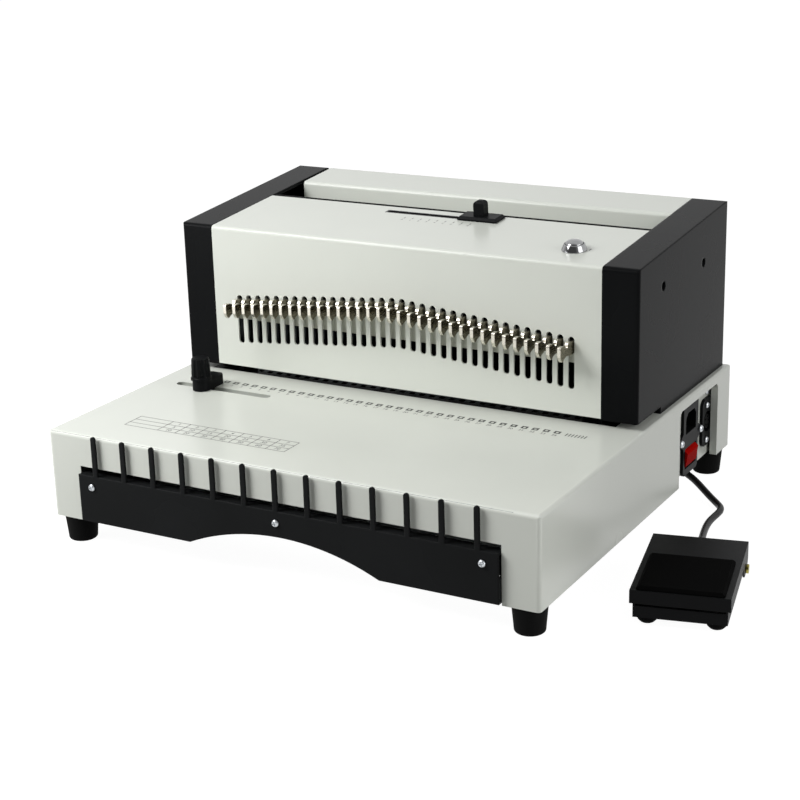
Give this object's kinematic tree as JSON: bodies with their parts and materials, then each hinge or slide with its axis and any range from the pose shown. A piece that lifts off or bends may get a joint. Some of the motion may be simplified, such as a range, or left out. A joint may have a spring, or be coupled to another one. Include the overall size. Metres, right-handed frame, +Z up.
{
  "type": "electric wire binding punch",
  "caption": "Desk punch for wire binding: pale sheet-metal base with a wire rack, black-capped head with a row of pull tabs over a paper throat, foot pedal on a cord.",
  "frame": {"origin": "on the table, in the middle of the box around the machine with its pedal", "axes": "+X to the machine's right, +Y to its back, +Z up"},
  "size_m": [0.4946, 0.3554, 0.2233],
  "materials": {
    "shell_paint": "fine powder coat, pale warm grey",
    "cap_black": "satin black powder coat",
    "rack_black": "satin black powder coat",
    "zinc": "bright zinc plate",
    "sheet_steel": "galvanised sheet",
    "tool_steel": "ground steel",
    "pale_bar": "pale enamel",
    "tab_nickel": "nickel plate, slightly brown",
    "chrome": "polished chrome",
    "plastic_black": "moulded, fine grain",
    "rocker_red": "glossy translucent red",
    "motor_grey": "dark enamel",
    "board_green": "solder mask",
    "pedal_black": "textured black paint",
    "brass": "turned",
    "rubber_black": "moulded rubber"
  },
  "bodies": {
    "machine": {"base_shell": "shell_paint", "base_plate": "sheet_steel", "rack_rail": "rack_black", "wire_rack": "rack_black", "feet": "rubber_black", "screws": "zinc", "connector_panel": "shell_paint", "power_inlet": "plastic_black", "pedal_socket": "plastic_black", "head_cover": "shell_paint", "rear_cover": "shell_paint", "trough_trim": "rubber_black", "end_cap_left": "cap_black", "end_cap_right": "cap_black", "punch_frame": "tool_steel", "guide_columns": "tool_steel", "die_plate": "tool_steel", "stripper_plate": "tool_steel", "gear_motor": "motor_grey", "control_board": "board_green", "button_bezel": "chrome", "pedal_base": "pedal_black", "pedal_pin": "brass", "pedal_spring": "zinc", "pedal_switch": "plastic_black", "pedal_feet": "rubber_black", "cord_gland": "rubber_black", "pedal_gland": "rubber_black", "cord": "rubber_black"},
    "press": {"press_beam": "pale_bar", "yokes": "tool_steel", "punch_pins": "tool_steel"},
    "shaft": {"drive_shaft": "tool_steel"},
    "slider": {"margin_slider": "plastic_black"},
    "stop": {"margin_stop": "sheet_steel"},
    "rocker": {"rocker_switch": "rocker_red"},
    "guide": {"edge_guide": "plastic_black"},
    "knob": {"edge_knob": "plastic_black"},
    "drawer": {"chip_drawer": "sheet_steel"},
    "button": {"punch_button": "chrome"},
    "tread": {"pedal_tread": "pedal_black", "pedal_pad": "rubber_black"},
    "tab_row": {"pull_tabs_fixed_row": "tab_nickel"},
    "tab_25": {"pull_tab_25": "tab_nickel"},
    "tab_26": {"pull_tab_26": "tab_nickel"},
    "tab_27": {"pull_tab_27": "tab_nickel"},
    "tab_28": {"pull_tab_28": "tab_nickel"},
    "tab_29": {"pull_tab_29": "tab_nickel"},
    "tab_30": {"pull_tab_30": "tab_nickel"},
    "tab_31": {"pull_tab_31": "tab_nickel"},
    "tab_32": {"pull_tab_32": "tab_nickel"},
    "tab_33": {"pull_tab_33": "tab_nickel"},
    "tab_34": {"pull_tab_34": "tab_nickel"}
  },
  "joints": [
    {"name": "press_stroke", "type": "slide", "parent": "machine", "child": "press", "axis": [0, 0, -1], "range_m": [0, 0.024]},
    {"name": "shaft_turn", "type": "hinge", "parent": "machine", "child": "shaft", "pos_m": [-0.05235, 0.04355, 0.148], "axis": [1, 0, 0], "range_deg": [0, 180.5]},
    {"name": "pedal_press", "type": "hinge", "parent": "machine", "child": "tread", "pos_m": [0.19731, -0.038, 0.0115], "axis": [0.9759, 0.2181, 0], "range_deg": [0, 4], "stiffness_Nm_per_rad": 6, "springref_deg": -5.73, "deforming": ["pedal_spring"]},
    {"name": "button_press", "type": "slide", "parent": "machine", "child": "button", "axis": [0, 0.0767, -0.9971], "range_m": [0, 0.002], "stiffness_N_per_m": 500, "springref_m": -0.002},
    {"name": "rocker_tilt", "type": "hinge", "parent": "machine", "child": "rocker", "pos_m": [0.13285, 0.10755, 0.0328], "axis": [0, -1, 0], "range_deg": [0, 18]},
    {"name": "margin_slide", "type": "slide", "parent": "machine", "child": "slider", "axis": [-1, 0, 0], "range_m": [0, 0.06]},
    {"name": "stop_shift", "type": "slide", "parent": "machine", "child": "stop", "axis": [0, -1, 0], "range_m": [0, 0.0041]},
    {"name": "guide_slide", "type": "slide", "parent": "machine", "child": "guide", "axis": [1, 0, 0], "range_m": [-0.018, 0.048]},
    {"name": "knob_turn", "type": "hinge", "parent": "guide", "child": "knob", "pos_m": [-0.19905, -0.04925, 0.104], "axis": [0, 0, 1], "range_deg": [-90, 90]},
    {"name": "drawer_pull", "type": "slide", "parent": "machine", "child": "drawer", "axis": [-1, 0, 0], "range_m": [0, 0.22]},
    {"name": "tab_row_pull", "type": "slide", "parent": "press", "child": "tab_row", "axis": [0, -1, 0], "range_m": [0, 0.01]},
    {"name": "tab_25_pull", "type": "slide", "parent": "press", "child": "tab_25", "axis": [0, -1, 0], "range_m": [0, 0.01]},
    {"name": "tab_26_pull", "type": "slide", "parent": "press", "child": "tab_26", "axis": [0, -1, 0], "range_m": [0, 0.01]},
    {"name": "tab_27_pull", "type": "slide", "parent": "press", "child": "tab_27", "axis": [0, -1, 0], "range_m": [0, 0.01]},
    {"name": "tab_28_pull", "type": "slide", "parent": "press", "child": "tab_28", "axis": [0, -1, 0], "range_m": [0, 0.01]},
    {"name": "tab_29_pull", "type": "slide", "parent": "press", "child": "tab_29", "axis": [0, -1, 0], "range_m": [0, 0.01]},
    {"name": "tab_30_pull", "type": "slide", "parent": "press", "child": "tab_30", "axis": [0, -1, 0], "range_m": [0, 0.01]},
    {"name": "tab_31_pull", "type": "slide", "parent": "press", "child": "tab_31", "axis": [0, -1, 0], "range_m": [0, 0.01]},
    {"name": "tab_32_pull", "type": "slide", "parent": "press", "child": "tab_32", "axis": [0, -1, 0], "range_m": [0, 0.01]},
    {"name": "tab_33_pull", "type": "slide", "parent": "press", "child": "tab_33", "axis": [0, -1, 0], "range_m": [0, 0.01]},
    {"name": "tab_34_pull", "type": "slide", "parent": "press", "child": "tab_34", "axis": [0, -1, 0], "range_m": [0, 0.01]}
  ],
  "couplings": [
    {"joint": "shaft_turn", "follows": "press_stroke", "rad_per_m": 130.9},
    {"joint": "stop_shift", "follows": "margin_slide", "ratio": 0.066667}
  ]
}
